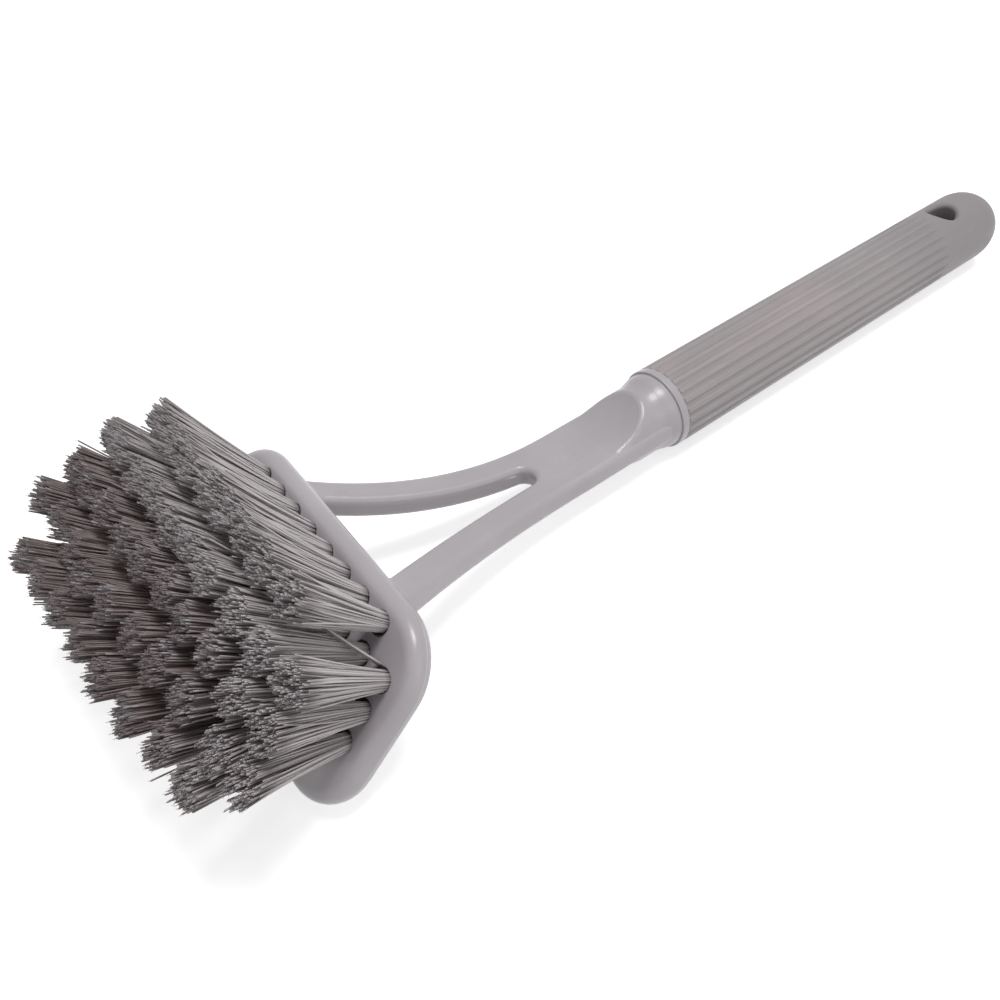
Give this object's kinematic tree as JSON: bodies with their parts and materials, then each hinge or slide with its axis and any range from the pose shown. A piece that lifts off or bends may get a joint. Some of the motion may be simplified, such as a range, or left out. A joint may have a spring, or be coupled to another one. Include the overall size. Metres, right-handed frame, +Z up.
{
  "type": "dish brush",
  "caption": "Long-handled dish brush: ribbed round grip with a hanging hole, forked flat neck and a tilted oblong head set with rows of flared bristle tufts.",
  "frame": {"origin": "on the axis of the hanging hole, at the height of the handle's own axis", "axes": "+X along the handle from the tail to the head, +Y across the brush, +Z up, the way the bristles face when the brush lies on its back"},
  "size_m": [0.2809, 0.096, 0.055],
  "materials": {
    "body_plastic": "smooth moulded polypropylene, soft gloss",
    "grip_plastic": "moulded, ribbed, fine matt",
    "bristle": "drawn filaments, cut tips",
    "wire": "flat drawn wire"
  },
  "bodies": {
    "root": {"body": "body_plastic", "grip": "grip_plastic", "staples": "wire", "tuft_row1_01": "bristle", "tuft_row1_02": "bristle", "tuft_row1_03": "bristle", "tuft_row1_04": "bristle", "tuft_row1_05": "bristle", "tuft_row1_06": "bristle", "tuft_row1_07": "bristle", "tuft_row1_08": "bristle", "tuft_row2_01": "bristle", "tuft_row2_02": "bristle", "tuft_row2_03": "bristle", "tuft_row2_04": "bristle", "tuft_row2_05": "bristle", "tuft_row2_06": "bristle", "tuft_row2_07": "bristle", "tuft_row2_08": "bristle", "tuft_row2_09": "bristle", "tuft_row2_10": "bristle", "tuft_row3_01": "bristle", "tuft_row3_02": "bristle", "tuft_row3_03": "bristle", "tuft_row3_04": "bristle", "tuft_row3_05": "bristle", "tuft_row3_06": "bristle", "tuft_row3_07": "bristle", "tuft_row3_08": "bristle", "tuft_row3_09": "bristle", "tuft_row3_10": "bristle", "tuft_row4_01": "bristle", "tuft_row4_02": "bristle", "tuft_row4_03": "bristle", "tuft_row4_04": "bristle", "tuft_row4_05": "bristle", "tuft_row4_06": "bristle", "tuft_row4_07": "bristle", "tuft_row4_08": "bristle", "tuft_row4_09": "bristle", "tuft_row4_10": "bristle", "tuft_row5_01": "bristle", "tuft_row5_02": "bristle", "tuft_row5_03": "bristle", "tuft_row5_04": "bristle", "tuft_row5_05": "bristle", "tuft_row5_06": "bristle", "tuft_row5_07": "bristle", "tuft_row5_08": "bristle"}
  },
  "joints": []
}
